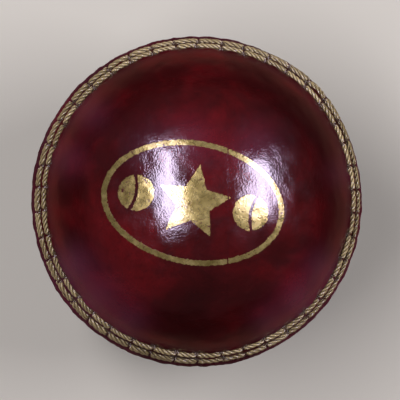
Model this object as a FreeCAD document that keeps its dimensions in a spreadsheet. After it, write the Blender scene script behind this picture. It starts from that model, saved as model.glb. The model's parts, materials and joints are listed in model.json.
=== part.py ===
# Four-piece hand-stitched cricket ball, built from the nucleus outwards.
#
# Frame: the origin is the centre of the ball. The XY plane is the joint plane
# between the two leather cups, so the raised stitched seam runs round the
# equator, and +Z is the pole that carries the foil emblem. All sizes in mm.
#
# From the inside out: a moulded cork and rubber nucleus; five rounds of cork
# tiles, each bound down by a wound yarn layer; leather lining inside each cup;
# two leather quarters per cup, joined edge to edge by hidden whip stitches;
# and six threads of saddle stitching that make the six visible stitch rows.

import FreeCAD, Part
import Sketcher
import math
import os

Vector = FreeCAD.Vector
ORIGIN = Vector(0, 0, 0)
X_AXIS = Vector(1, 0, 0)
Y_AXIS = Vector(0, 1, 0)
Z_AXIS = Vector(0, 0, 1)

doc = FreeCAD.newDocument("cricket_ball")
subparts = []  # the objects that are written out

# ------------------------------------------------------- driving dimensions
CELLS = [
    # name, value, what it is
    ("nucleus_rad", 13.5, "radius of the cork and rubber nucleus"),
    ("cork_thick", 1.4, "thickness of one round of cork tiles"),
    ("yarn_thick", 2.1, "thickness of one wound yarn layer"),
    ("cork_gap", 1.0, "gap between neighbouring cork tiles"),
    ("lining_inner", 31.0, "inner radius of the leather lining"),
    ("leather_inner", 32.0, "inner radius of the leather cups"),
    ("leather_outer", 35.5, "outer radius of the leather, clear of the seam"),
    ("joint_rad", 35.95, "outer radius at the bottom of the notch between the cups"),
    ("lip_round", 1.3, "rounding radius of the lip's inner side"),
    ("slope_round", 6.0, "rounding radius of the lip's slope to the closing row"),
    ("ridge_round", 4.5, "rounding radius of the puff between closing and middle row"),
    ("land_round", 8.0, "rounding radius of the puff between middle and outer row"),
    ("end_round", 12.0, "rounding radius where the stitched band runs out"),
    ("valley_round", 0.57, "radius of the valley under a row"),
    ("valley_half_deg", 0.83, "half the width of a valley, as an angle"),
    ("valley_lift", 0.23, "depth of a valley's edges below the thread's centre"),
    ("crest_rad", 36.38, "radius of the lip that rises beside the joint"),
    ("crest_height", 0.95, "height of the lip's crest above the joint plane"),
    ("band_end_deg", 23.5, "latitude where the stitched band runs out"),
    ("row_closing_deg", 5.0, "latitude of the closing rows"),
    ("row_middle_deg", 12.4, "latitude of the middle rows"),
    ("row_outer_deg", 18.5, "latitude of the outer rows"),
    ("row_closing_rad", 35.60, "radius of the thread's centre in the closing rows"),
    ("row_middle_rad", 35.92, "radius of the thread's centre in the middle rows"),
    ("row_outer_rad", 35.77, "radius of the thread's centre in the outer rows"),
    ("stitches", 42, "stitches in each row, an even number"),
    ("thread_rad", 0.52, "radius of the thread at the middle of a stitch"),
    ("thread_under_rad", 0.27, "radius of the thread inside the leather"),
    ("thread_clear", 0.05, "clearance between whip stitch thread and leather"),
    ("closing_under_rad", 34.0, "distance from the axis of the closing threads' crossings"),
    ("pair_under_rad", 34.0, "radius of the crossings between the middle and outer rows"),
    ("leg_half_gap", 0.40, "half the distance between two threads in one stitch hole"),
    ("leg_depth_step", 0.33, "depth of each crossing run above or below the mean"),
    ("dive_round", 0.58, "bend radius of a stitch as it dives into its hole"),
    ("turn_round", 0.42, "bend radius at the ends of a crossing run"),
    ("slot_half_len", 1.0, "half the length of a stitch hole at the surface"),
    ("slot_half_wid", 0.46, "half the width of a stitch hole"),
    ("slot_depth", 0.95, "depth of the long part of a stitch hole"),
    ("tunnel_rad", 0.95, "radius of the tunnel for the crossing runs"),
    ("quarter_shift", 5.6, "distance of the upper quarter joint from the axis"),
    ("lining_gap", 1.9, "distance of a lining piece from its quarter joint"),
    ("lining_rim", 0.3, "height of the lining's rim above the joint plane"),
    ("lining_reach", 40, "reach of the boxes that part the lining"),
    ("cup_reach", 45, "reach of the boxes that part the cups"),
    ("whip_rad", 1.1, "mean radius of a whip stitch"),
    ("whip_thread", 0.25, "radius of the whip stitch thread"),
    ("whip_centre", 32.4, "radius on which the whip stitches are centred"),
    ("whip_count", 24, "whip stitches along one quarter joint"),
    ("whip_span_deg", 128.0, "angle covered by one row of whip stitches"),
    ("foil_thick", 0.06, "thickness of the foil emblem"),
    ("foil_long", 20.0, "half length of the emblem's oval ring"),
    ("foil_short", 13.4, "half width of the emblem's oval ring"),
    ("foil_line", 1.15, "width of the ring's line"),
    ("star_out", 8.3, "radius of the star's tips"),
    ("star_in", 3.9, "radius of the star's notches"),
    ("ball_rad", 3.9, "radius of a ball in the emblem"),
    ("ball_at", 12.6, "distance of each ball from the emblem's middle"),
    ("ball_seam", 0.7, "width of the gap that marks a ball's seam"),
    ("foil_turn_deg", -10.0, "turn of the emblem about the ball's axis"),
    ("foil_at_x", -1.9, "emblem centre, X"),
    ("foil_at_y", -0.95, "emblem centre, Y"),
    ("foil_nick", 0.28, "gap in the foil where it crosses the quarter joint"),
]
sheet = doc.addObject("Spreadsheet::Sheet", "Sizes")
for line, (cell, value, meaning) in enumerate(CELLS, start=1):
    sheet.set(f"A{line}", cell)
    sheet.set(f"B{line}", repr(value))
    sheet.setAlias(f"B{line}", cell)
    sheet.set(f"C{line}", meaning)
doc.recompute()


def size(name):
    """A driving dimension, read back from the sheet."""
    return float(getattr(sheet, name))


# ------------------------------------------------------- small constructors
def fail(text):
    raise SystemExit("cricket ball: " + text)


def checked(shape, what):
    if shape.isNull() or not shape.isValid():
        fail(what + " is not a valid shape")
    return shape


def sphere(name, radius):
    """A sphere about the origin whose radius is an expression."""
    ball = doc.addObject("Part::Sphere", name)
    ball.setExpression("Radius", radius)
    return ball


def boolean(kind, name, base, tool):
    """A Part Cut or Common of two objects."""
    result = doc.addObject("Part::" + kind, name)
    result.Base = base
    result.Tool = tool
    return result


def hollow(name, outer, inner):
    """A closed spherical shell between two radius expressions."""
    return boolean("Cut", name, sphere(name + "_outer", outer), sphere(name + "_inner", inner))


def block(name, *expressions):
    """A box from expressions for its length, width, height and lowest corner."""
    box = doc.addObject("Part::Box", name)
    bound = ["Length", "Width", "Height"] + ["Placement.Base." + axis for axis in "xyz"]
    for prop, expression in zip(bound, expressions):
        box.setExpression(prop, expression)
    return box


def feature(name, shape):
    """An object for a computed shape, with an identity placement."""
    made = doc.addObject("Part::Feature", name)
    made.Shape = checked(shape, name)
    made.Placement = FreeCAD.Placement()
    return made


# ------------------------------------------------- nucleus, cork and yarn
ROUNDS = 5
WEDGE_ENDS = (4.0, 45.0)  # distances of a tile wedge's two square ends from the centre
TILE_TURNS = (  # axis and angle that carry the +Z tile to each face of a cube
    (Z_AXIS, 0), (X_AXIS, 90), (X_AXIS, 180), (X_AXIS, 270), (Y_AXIS, 90), (Y_AXIS, -90),
)
ROUND_AXIS = Vector(1, 0.4, 0.25)
ROUND_TURN_DEG = 31.0  # each round is turned against the last, so gaps never line up


def cork_round(number):
    """Six tiles, like the faces of a cube swelled to a sphere, with gaps between."""
    inner = size("nucleus_rad") + (number - 1) * (size("cork_thick") + size("yarn_thick"))
    shell = Part.makeSphere(inner + size("cork_thick")).cut(Part.makeSphere(inner))
    inset = size("cork_gap") * math.sqrt(0.5)
    tiles = []
    for axis, turn in TILE_TURNS:
        squares = []
        for z in WEDGE_ENDS:
            half = z - inset
            signs = ((-1, -1), (1, -1), (1, 1), (-1, 1), (-1, -1))
            squares.append(Part.makePolygon([Vector(x * half, y * half, z) for x, y in signs]))
        wedge = Part.makeLoft(squares, True, True)
        wedge.rotate(ORIGIN, axis, turn)
        tile = shell.common(wedge)
        tile.rotate(ORIGIN, ROUND_AXIS, ROUND_TURN_DEG * number)
        tiles += tile.Solids
    if len(tiles) != len(TILE_TURNS):
        fail(f"a cork round has {len(tiles)} tiles")
    return Part.makeCompound(tiles)


subparts.append(sphere("core_nucleus", "Sizes.nucleus_rad"))
for number in range(1, ROUNDS + 1):
    subparts.append(feature(f"cork_layer_{number}", cork_round(number)))
    yarn_inner = (
        f"Sizes.nucleus_rad + {number - 1} * (Sizes.cork_thick + Sizes.yarn_thick)"
        " + Sizes.cork_thick"
    )
    yarn_outer = yarn_inner + " + Sizes.yarn_thick"
    subparts.append(hollow(f"yarn_winding_{number}", yarn_outer, yarn_inner))

# ------------------------------------------------------------ leather lining
# Two pieces in each cup, one each side of the quarter joint. The lower cup's
# quarter joint is turned by 90 degrees against the upper one.
REACH = "Sizes.lining_reach"
LINING_SPACES = [
    # name, length, width, height, lowest x, y, z
    ("lining_upper_a", REACH, "2 * " + REACH, REACH,
     "Sizes.quarter_shift + Sizes.lining_gap", "-" + REACH, "Sizes.lining_rim"),
    ("lining_upper_b", REACH, "2 * " + REACH, REACH,
     "Sizes.quarter_shift - Sizes.lining_gap - " + REACH, "-" + REACH, "Sizes.lining_rim"),
    ("lining_lower_a", "2 * " + REACH, REACH, REACH,
     "-" + REACH, "Sizes.lining_gap", "-Sizes.lining_rim - " + REACH),
    ("lining_lower_b", "2 * " + REACH, REACH, REACH,
     "-" + REACH, "-Sizes.lining_gap - " + REACH, "-Sizes.lining_rim - " + REACH),
]
lining = hollow("lining_shell", "Sizes.leather_inner", "Sizes.lining_inner")
for name, *extent in LINING_SPACES:
    subparts.append(boolean("Common", name, lining, block(name + "_space", *extent)))


# --------------------------------------------------------- the cup's profile
# A corner is ((x, expression), (y, expression)) in the sketch, whose x is the
# distance from the ball's axis and whose y is the height. A coordinate on an
# axis of the sketch has no expression.
def cell_corner(x_cell, y_cell):
    """A corner whose coordinates are cells of the sheet, or None for zero."""
    return tuple((size(cell), "Sizes." + cell) if cell else (0, None) for cell in (x_cell, y_cell))


def polar_corner(radius, radius_expr, latitude, latitude_expr):
    """A corner from a radius and a latitude in degrees, each with its expression."""
    angle = math.radians(latitude)
    return (
        (radius * math.cos(angle), f"({radius_expr}) * cos(({latitude_expr}) * 1deg)"),
        (radius * math.sin(angle), f"({radius_expr}) * sin(({latitude_expr}) * 1deg)"),
    )


def valley_corner(row, sign):
    """The lower (-1) or upper (+1) edge of the valley under a row."""
    return polar_corner(
        size(f"row_{row}_rad") - size("valley_lift"),
        f"Sizes.row_{row}_rad - Sizes.valley_lift",
        size(f"row_{row}_deg") + sign * size("valley_half_deg"),
        f"Sizes.row_{row}_deg {'+' if sign > 0 else '-'} Sizes.valley_half_deg",
    )


def arc_middle(start, stop, radius, outward):
    """Middle of the arc from corner to corner, bulging away from the origin or to it."""
    (ax, _), (ay, _) = start
    (bx, _), (by, _) = stop
    half = math.hypot(bx - ax, by - ay) / 2
    sag = radius - math.sqrt(radius * radius - half * half)
    normal_x, normal_y = (by - ay) / (2 * half), -(bx - ax) / (2 * half)
    middle_x, middle_y = (ax + bx) / 2, (ay + by) / 2
    if (normal_x * middle_x + normal_y * middle_y > 0) != outward:
        sag = -sag
    return (middle_x + normal_x * sag, middle_y + normal_y * sag)


def profile_sketch(body, name, corners, arcs):
    """A closed profile on the body's XZ plane.

    arcs: {number of the side: (cell of its radius, whether it bulges outwards)};
    every other side is a straight line.
    """
    sketch = body.newObject("Sketcher::SketchObject", name)
    plane = next(item for item in body.Origin.OriginFeatures if item.Role == "XZ_Plane")
    sketch.AttachmentSupport = [(plane, "")]
    sketch.MapMode = "FlatFace"
    count = len(corners)
    ends = []  # for every side: the vertex numbers of its first and last corner
    for i in range(count):
        start, stop = corners[i], corners[(i + 1) % count]
        first = Vector(start[0][0], start[1][0], 0)
        last = Vector(stop[0][0], stop[1][0], 0)
        if i in arcs:
            cell, outward = arcs[i]
            middle = Vector(*arc_middle(start, stop, size(cell), outward), 0)
            # a sketch arc runs counterclockwise, so a clockwise side is reversed
            counterclockwise = (middle - first).cross(last - first).z > 0
            if counterclockwise:
                sketch.addGeometry(Part.Arc(first, middle, last), False)
            else:
                sketch.addGeometry(Part.Arc(last, middle, first), False)
            ends.append((1, 2) if counterclockwise else (2, 1))
        else:
            sketch.addGeometry(Part.LineSegment(first, last), False)
            ends.append((1, 2))

    for i in range(count):
        following = (i + 1) % count
        vertex = ends[i][1]
        sketch.addConstraint(
            Sketcher.Constraint("Coincident", i, vertex, following, ends[following][0])
        )
        corner_x, corner_y = corners[following]
        for kind, axis, (value, expression) in (
            ("DistanceX", -2, corner_x), ("DistanceY", -1, corner_y),
        ):
            if expression is None:
                sketch.addConstraint(Sketcher.Constraint("PointOnObject", i, vertex, axis))
            else:
                added = sketch.addConstraint(Sketcher.Constraint(kind, -1, 1, i, vertex, value))
                sketch.setExpression(f"Constraints[{added}]", expression)
    for i, (cell, _) in arcs.items():
        radius = sketch.Geometry[i].Radius
        added = sketch.addConstraint(Sketcher.Constraint("Radius", i, radius))
        sketch.setExpression(f"Constraints[{added}]", "Sizes." + cell)
    return sketch


# ------------------------------------------------------------- the cup shell
# A body of revolution about Z: the inner face, the joint face, the lip that
# rises beside the joint, a valley under each stitch row with puffed leather
# between the valleys, and the outer face.
ROWS = ("closing", "middle", "outer")
CORNERS = [
    cell_corner("leather_inner", None),
    cell_corner("joint_rad", None),
    cell_corner("crest_rad", "crest_height"),
    *(valley_corner(row, sign) for row in ROWS for sign in (-1, 1)),
    polar_corner(
        size("leather_outer"), "Sizes.leather_outer", size("band_end_deg"), "Sizes.band_end_deg"
    ),
    cell_corner(None, "leather_outer"),
    cell_corner(None, "leather_inner"),
]
ARCS = {
    1: ("lip_round", True),
    2: ("slope_round", True),
    3: ("valley_round", False),
    4: ("ridge_round", True),
    5: ("valley_round", False),
    6: ("land_round", True),
    7: ("valley_round", False),
    8: ("end_round", True),
    9: ("leather_outer", True),
    11: ("leather_inner", True),
}
cup = doc.addObject("PartDesign::Body", "cup")
profile = profile_sketch(cup, "cup_profile", CORNERS, ARCS)
cup_shell = cup.newObject("PartDesign::Revolution", "cup_shell")
cup_shell.Profile = profile
cup_shell.ReferenceAxis = (profile, ["V_Axis"])
cup_shell.Angle = 360
doc.recompute()
checked(cup_shell.Shape, "cup shell")
cup.Tip = cup_shell
doc.recompute()

# ------------------------------------------------------------ stitch holes
COUNT = int(round(size("stitches")))
PITCH = 2 * math.pi / COUNT  # angle from stitch to stitch, in radians
HOLE_REACH = 38.0  # distance from the axis where a hole's cutter ends, clear of the leather
LEG_SIDE_CLEAR = 0.14  # room beside the two threads in the deep part of a hole
LEG_END_CLEAR = 0.1  # room below the deepest thread
CLOSING_BELOW = 1.0  # the closing tunnel's start below the joint plane
CLOSING_PAST = 0.5  # the closing tunnel's end above its row
PAIR_PAST = 0.45  # how far the other tunnel runs past each of its two rows


def row_at(row):
    """(distance from the axis, height) of the thread's centre in a row of the upper cup."""
    latitude, radius = math.radians(size(f"row_{row}_deg")), size(f"row_{row}_rad")
    return radius * math.cos(latitude), radius * math.sin(latitude)


def under_x(row):
    """Distance from the axis where a stitch in this row turns into its crossing run."""
    if row == "closing":
        return size("closing_under_rad")
    return math.sqrt(size("pair_under_rad") ** 2 - row_at(row)[1] ** 2)


def slot(z, half_length, x_from, x_to):
    """A round-ended slot along X at height z, long in Y."""
    half_width = size("slot_half_wid")
    straight = half_length - half_width
    corners = [
        Vector(x_from, y, z + rise)
        for y, rise in (
            (-straight, -half_width), (straight, -half_width), (half_length, 0),
            (straight, half_width), (-straight, half_width), (-half_length, 0),
        )
    ]
    wire = Part.Wire([
        Part.makeLine(corners[0], corners[1]),
        Part.Arc(corners[1], corners[2], corners[3]).toShape(),
        Part.makeLine(corners[3], corners[4]),
        Part.Arc(corners[4], corners[5], corners[0]).toShape(),
    ])
    return Part.Face(wire).extrude(Vector(x_to - x_from, 0, 0))


def stitch_hole():
    """The holes of the three rows at angle zero, with the tunnels that join them."""
    under_rad, tunnel_rad = size("thread_under_rad"), size("tunnel_rad")
    leg_half_len = size("leg_half_gap") + under_rad + LEG_SIDE_CLEAR
    cutters = []
    for row in ROWS:
        x, z = row_at(row)
        floor = x - size("thread_rad") - size("slot_depth")
        cutters.append(slot(z, size("slot_half_len"), floor, HOLE_REACH))
        deep_floor = under_x(row) - size("leg_depth_step") - under_rad - LEG_END_CLEAR
        cutters.append(slot(z, leg_half_len, deep_floor, x))
    height = row_at("closing")[1] + CLOSING_PAST + CLOSING_BELOW
    base = Vector(under_x("closing"), 0, -CLOSING_BELOW)
    cutters.append(Part.makeCylinder(tunnel_rad, height, base, Z_AXIS))
    middle = Vector(under_x("middle"), 0, row_at("middle")[1])
    along = Vector(under_x("outer"), 0, row_at("outer")[1]) - middle
    unit = Vector(along).normalize()
    length = along.Length + 2 * PAIR_PAST
    cutters.append(Part.makeCylinder(tunnel_rad, length, middle - unit * PAIR_PAST, unit))
    return checked(cutters[0].fuse(cutters[1:]).removeSplitter(), "stitch hole")


def stitch_holes():
    """The stitch hole repeated round the cup, between the stitches."""
    pattern = stitch_hole()
    holes = []
    for i in range(COUNT):
        hole = pattern.copy()
        hole.rotate(ORIGIN, Z_AXIS, math.degrees((i + 0.5) * PITCH))
        holes += hole.Solids
    return Part.makeCompound(holes)


upper_cup = boolean("Cut", "cup_drilled", cup, feature("stitch_holes", stitch_holes()))
doc.recompute()
checked(upper_cup.Shape, "drilled cup")
lower_cup = doc.addObject("Part::Mirroring", "cup_lower")
lower_cup.Source = upper_cup
lower_cup.Normal = Z_AXIS
lower_cup.Base = ORIGIN
doc.recompute()


# ------------------------------------------- leather quarters, whip stitches
def whip_rings(thread_rad, shift, lower):
    """Rings through both edges of a quarter joint and across the inner face.

    They are the stitches or, with a thicker thread, the tunnels for them.
    """
    count = int(round(size("whip_count")))
    span = math.radians(size("whip_span_deg"))
    # the rings' centres lie on an arc in the plane x = shift
    arc_rad = math.sqrt(size("whip_centre") ** 2 - shift ** 2)
    rings = []
    for i in range(count):
        angle = -span / 2 + span * i / (count - 1)  # from the pole
        centre = Vector(shift, arc_rad * math.sin(angle), arc_rad * math.cos(angle))
        tangent = Vector(0, math.cos(angle), -math.sin(angle))
        ring = Part.makeTorus(size("whip_rad"), thread_rad, centre, tangent)
        if lower:
            ring.rotate(ORIGIN, Z_AXIS, 90)
            ring.rotate(ORIGIN, X_AXIS, 180)
        rings.append(ring)
    return Part.makeCompound(rings)


REACH = "Sizes.cup_reach"
QUARTER_SPACES = {
    # cup: (suffix, length, width, height, lowest x, y, z) of its two quarters
    "upper": (
        ("a", REACH, "2 * " + REACH, REACH, "Sizes.quarter_shift", "-" + REACH, "0"),
        ("b", "2 * " + REACH, "2 * " + REACH, REACH,
         "Sizes.quarter_shift - 2 * " + REACH, "-" + REACH, "0"),
    ),
    "lower": (
        ("a", "2 * " + REACH, REACH, REACH, "-" + REACH, "0", "-" + REACH),
        ("b", "2 * " + REACH, REACH, REACH, "-" + REACH, "-" + REACH, "-" + REACH),
    ),
}
for side, source, shift in (("upper", upper_cup, size("quarter_shift")), ("lower", lower_cup, 0.0)):
    lower = side == "lower"
    tunnel_thread = size("whip_thread") + size("thread_clear")
    tunnels = feature("whip_tunnels_" + side, whip_rings(tunnel_thread, shift, lower))
    for suffix, *extent in QUARTER_SPACES[side]:
        name = f"quarter_{side}_{suffix}"
        blank = boolean("Common", name + "_blank", source, block(name + "_space", *extent))
        subparts.append(boolean("Cut", name, blank, tunnels))
    stitches = whip_rings(size("whip_thread"), shift, lower)
    subparts.append(feature("quarter_stitching_" + side, stitches))
doc.recompute()

# ------------------------------------------------------------- the threads
# Saddle stitching takes two threads through the same holes of a pair of rows.
# Each thread makes a visible stitch in one row, dives, crosses inside the
# leather to the other row, makes the next stitch there, and crosses back.
# Where two crossing runs meet in a tunnel, one lies above the other.
RUN_STEP = 0.75  # spacing of the sections along a straight run
BEND_STEP = 0.36  # greatest angle between sections in a bend, in radians
THIN_PAST = 0.1  # distance past the leg where the main swelling starts
NECK_LENGTH = 0.6  # distance past the leg over which the thread leaves its thin size
NECK_SHARE = 0.35  # share of the swelling gained over that distance
SWELL_RATE = 1.5  # how much sooner than mid-stitch the thread is full
OVERLAP = 5  # sections of the neighbouring repeats used at each end


def clamp(value):
    return min(1.0, max(0.0, value))


def rounded_path(corners, rounds):
    """Points along a polyline with rounded corners, with no point at its last corner."""
    points = []
    here = Vector(corners[0])
    for i in range(1, len(corners)):
        corner = Vector(corners[i])
        bends = i < len(corners) - 1
        start = corner
        if bends:
            before = (Vector(corners[i - 1]) - corner).normalize()
            after = (Vector(corners[i + 1]) - corner).normalize()
            opening = before.getAngle(after)
            radius = rounds[i - 1]
            setback = radius / math.tan(opening / 2)
            start, stop = corner + before * setback, corner + after * setback
            centre = corner + (before + after).normalize() * (radius / math.sin(opening / 2))
        steps = max(1, int(round((start - here).Length / RUN_STEP)))
        points += [here + (start - here) * (k / steps) for k in range(steps)]
        if bends:
            sweep = math.pi - opening
            spoke_in, spoke_out = start - centre, stop - centre
            steps = max(2, int(math.ceil(sweep / BEND_STEP)))
            for k in range(steps):
                part = k / steps
                spoke = spoke_in * math.sin((1 - part) * sweep) + spoke_out * math.sin(part * sweep)
                points.append(centre + spoke * (1 / math.sin(sweep)))
            here = stop
    return points


def half_cycle(start, stop, start_angle, depth):
    """Sections from mid-stitch in one row to mid-stitch in the next: (centre, radius)."""
    (ax, az, a_under), (bx, bz, b_under) = start, stop
    gap = size("leg_half_gap")
    thick, thin = size("thread_rad"), size("thread_under_rad")
    half_pitch = PITCH / 2
    # worked in (x, distance along the row, z), the hole at distance 0
    corners = [
        Vector(ax, -half_pitch * ax, az), Vector(ax, -gap, az), Vector(a_under + depth, -gap, az),
        Vector(b_under + depth, gap, bz), Vector(bx, gap, bz), Vector(bx, half_pitch * bx, bz),
    ]
    dive, bend = size("dive_round"), size("turn_round")
    sections = []
    for point in rounded_path(corners, (dive, bend, bend, dive)):
        # full at mid-stitch, thinning to the hole, thin inside the leather
        past = abs(point.y) - gap
        outward = (past - THIN_PAST) / (half_pitch * ax - gap - THIN_PAST)
        full = 1 - (1 - clamp(outward * SWELL_RATE)) ** 2
        neck = clamp(past / NECK_LENGTH)
        radius = thin + (thick - thin) * (NECK_SHARE * neck + (1 - NECK_SHARE) * full)
        row_rad = ax + (bx - ax) * clamp((point.y + gap) / (2 * gap))
        angle = start_angle + half_pitch + point.y / row_rad
        centre = Vector(point.x * math.cos(angle), point.x * math.sin(angle), point.z)
        sections.append((centre, radius))
    return sections


def carried_normals(tangents, stations, first, last, target):
    """Normals carried along without twist, then turned evenly to end on the target."""
    normals = {first: Vector(1, 0, 0)}
    for i in range(first + 1, last + 1):
        before, tangent, normal = tangents[i - 1], tangents[i], normals[i - 1]
        axis = before.cross(tangent)
        if axis.Length > 1e-9:
            bend = math.degrees(before.getAngle(tangent))
            normal = FreeCAD.Rotation(axis, bend).multVec(normal)
        normal = normal - tangent * normal.dot(tangent)
        normals[i] = normal.normalize()
    end = normals[last]
    twist = math.atan2(tangents[last].dot(end.cross(target)), end.dot(target))
    for i in range(first, last + 1):
        share = (stations[i] - stations[first]) / (stations[last] - stations[first])
        turn = FreeCAD.Rotation(tangents[i], math.degrees(twist * share))
        normals[i] = turn.multVec(normals[i])
    normals[last] = target
    return normals


def tube_surface(sections, stations, tangents, normals):
    """A skin through circles of nine weighted poles.

    Each pole's path is a cubic through all the sections.
    """
    corner_weight = math.sqrt(0.5)
    weights = [1.0 if k % 2 == 0 else corner_weight for k in range(9)]
    pole_rows = []
    for k, weight in enumerate(weights):
        angle = k * math.pi / 4
        poles = []
        for i, (centre, radius) in enumerate(sections):
            normal, binormal = normals[i], tangents[i].cross(normals[i])
            spoke = normal * math.cos(angle) + binormal * math.sin(angle)
            poles.append(centre + spoke * (radius / weight))
        path = Part.BSplineCurve()
        path.interpolate(Points=poles, Parameters=stations)
        pole_rows.append(path.getPoles())
    surface = Part.BSplineSurface()
    surface.buildFromPolesMultsKnots(
        pole_rows, [3, 2, 2, 2, 3], path.getMultiplicities(),
        [0.0, 0.25, 0.5, 0.75, 1.0], path.getKnots(), False, False, 2, 3,
        [[weight] * len(pole_rows[0]) for weight in weights],
    )
    return surface


def thread_repeat(row_a, row_b):
    """The skin of one repeat of a thread, two stitches long."""
    step = size("leg_depth_step")
    repeat = half_cycle(row_a, row_b, 0.0, step) + half_cycle(row_b, row_a, PITCH, -step)
    turn = FreeCAD.Rotation(Z_AXIS, math.degrees(2 * PITCH))
    back = turn.inverted()
    repeat.append((turn.multVec(repeat[0][0]), repeat[0][1]))
    # a few sections of the repeats before and after, so that the repeats run
    # into each other without a kink
    sections = [(back.multVec(centre), r) for centre, r in repeat[-1 - OVERLAP : -1]]
    sections += repeat
    sections += [(turn.multVec(centre), r) for centre, r in repeat[1 : 1 + OVERLAP]]
    stations = [0.0]
    for (before, _), (after, _) in zip(sections, sections[1:]):
        stations.append(stations[-1] + (after - before).Length)
    curve = Part.BSplineCurve()
    curve.interpolate(Points=[centre for centre, _ in sections], Parameters=stations)
    tangents = [Vector(curve.tangent(station)[0]).normalize() for station in stations]
    first, last = OVERLAP, len(sections) - 1 - OVERLAP
    # the last section meets the first one of the next repeat
    tangents[last] = turn.multVec(tangents[first])
    normals = carried_normals(tangents, stations, first, last, turn.multVec(Vector(1, 0, 0)))
    for k in range(1, OVERLAP + 1):
        for frame in (normals, tangents):
            frame[first - k] = back.multVec(frame[last - k])
            frame[last + k] = turn.multVec(frame[first + k])
    surface = tube_surface(sections, stations, tangents, normals)
    surface.segment(0.0, 1.0, stations[first], stations[last])
    return surface.toShape()


def thread_tube(row_a, row_b):
    """One thread of a pair of rows as a closed tube. Rows are (x, z, x of the crossing run)."""
    tube = thread_repeat(row_a, row_b)
    faces = []
    for i in range(COUNT // 2):
        face = tube.copy()
        face.rotate(ORIGIN, Z_AXIS, math.degrees(2 * PITCH * i))
        faces.append(face)
    skin = Part.makeShell(faces)
    skin.sewShape()
    # sewing may wrap the shell in a compound
    solid = Part.Solid(skin if skin.ShapeType == "Shell" else skin.Shells[0])
    if solid.Volume < 0:
        solid.reverse()
    return solid


def thread_row(row):
    return (*row_at(row), under_x(row))


closing_x, closing_z, closing_under = thread_row("closing")
closing = thread_tube(
    (closing_x, closing_z, closing_under), (closing_x, -closing_z, closing_under)
)
pair = thread_tube(thread_row("outer"), thread_row("middle"))
for rows, tube, flip in (("closing", closing, False), ("upper", pair, False), ("lower", pair, True)):
    for turns, suffix in enumerate("ab"):
        thread = tube.copy()
        if flip:
            thread.rotate(ORIGIN, X_AXIS, 180)
        thread.rotate(ORIGIN, Z_AXIS, math.degrees(PITCH * turns))
        subparts.append(feature(f"{rows}_thread_{suffix}", thread))

# ------------------------------------------------------------- the emblem
# A plain foil emblem on the upper pole: an oval ring, a five-pointed star and
# a stitched ball at each side of it. Each shape is a thin piece of foil that
# follows the leather.
PLATE_BASE, PLATE_HEIGHT = 15, 30  # the outlines' plates, in Z
SEAM_BEND = 2.2  # radius of a ball's seam, as a multiple of the ball's radius
NICK_WIDTH, NICK_HEIGHT = 80, 60  # the cutter for the nick, in Y and Z


def plate(face):
    """A flat outline stretched along Z, through the upper side of the ball."""
    base = face.copy()
    base.translate(Vector(0, 0, PLATE_BASE))
    return base.extrude(Vector(0, 0, PLATE_HEIGHT))


def oval(half_length, half_width):
    return Part.Face(Part.Wire([Part.Ellipse(ORIGIN, half_length, half_width).toShape()]))


def disc(x, radius):
    return Part.Face(Part.Wire([Part.Circle(Vector(x, 0, 0), Z_AXIS, radius).toShape()]))


def oval_ring():
    long, short, width = size("foil_long"), size("foil_short"), size("foil_line")
    return plate(oval(long, short)).cut(plate(oval(long - width, short - width)))


def star():
    corners = []
    for i in range(10):
        radius = size("star_out") if i % 2 == 0 else size("star_in")
        angle = math.radians(90 + 36 * i)
        corners.append(Vector(radius * math.cos(angle), radius * math.sin(angle), 0))
    return plate(Part.Face(Part.makePolygon(corners + [corners[0]])))


def stitched_ball(x):
    """A disc with a curved gap for its seam."""
    radius, seam = size("ball_rad"), size("ball_seam")
    bend = SEAM_BEND * radius
    away = x + math.copysign(bend, x)
    gap = disc(away, bend + seam / 2).cut(disc(away, bend - seam / 2))
    return plate(disc(x, radius)).cut(plate(gap.Faces[0]))


def foil_emblem():
    ball_at, nick = size("ball_at"), size("foil_nick")
    outline = Part.makeCompound(
        [oval_ring(), star(), stitched_ball(-ball_at), stitched_ball(ball_at)]
    )
    outline.rotate(ORIGIN, Z_AXIS, size("foil_turn_deg"))
    outline.translate(Vector(size("foil_at_x"), size("foil_at_y"), 0))
    nick_corner = Vector(size("quarter_shift") - nick / 2, -NICK_WIDTH / 2, 0)
    outline = outline.cut(Part.makeBox(nick, NICK_WIDTH, NICK_HEIGHT, nick_corner))
    leather = size("leather_outer")
    skin = Part.makeSphere(leather + size("foil_thick")).cut(Part.makeSphere(leather))
    return Part.makeCompound(skin.common(outline).Solids)


subparts.append(feature("foil_emblem", foil_emblem()))

# ------------------------------------------------------------------ output
doc.recompute()
for item in doc.Objects:
    bad = [state for state in item.State if state in ("Invalid", "Error")]
    if bad:
        fail(f"{item.Name} is {bad}")
for item in subparts:
    checked(item.Shape, item.Label)
    if item.Shape.Volume <= 0 or not item.Shape.Solids:
        fail(item.Label + " holds no solid")
os.makedirs("parts", exist_ok=True)
for item in subparts:
    item.Shape.exportStep(os.path.join("parts", item.Label + ".step"))
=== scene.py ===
# Cricket ball: displaced leather quarters, laid three-ply seam threads and a foil
# emblem, built round the CAD frame. The ball is centred on the origin with its seam
# in the plane z = 0, and the emblem lies about the upper pole, +Z. Lengths are
# millimetres until a mesh is made; the floor, lights and camera are set in metres.
import json
import math

import bmesh
import bpy
import numpy as np
from mathutils import Matrix, Vector

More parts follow.
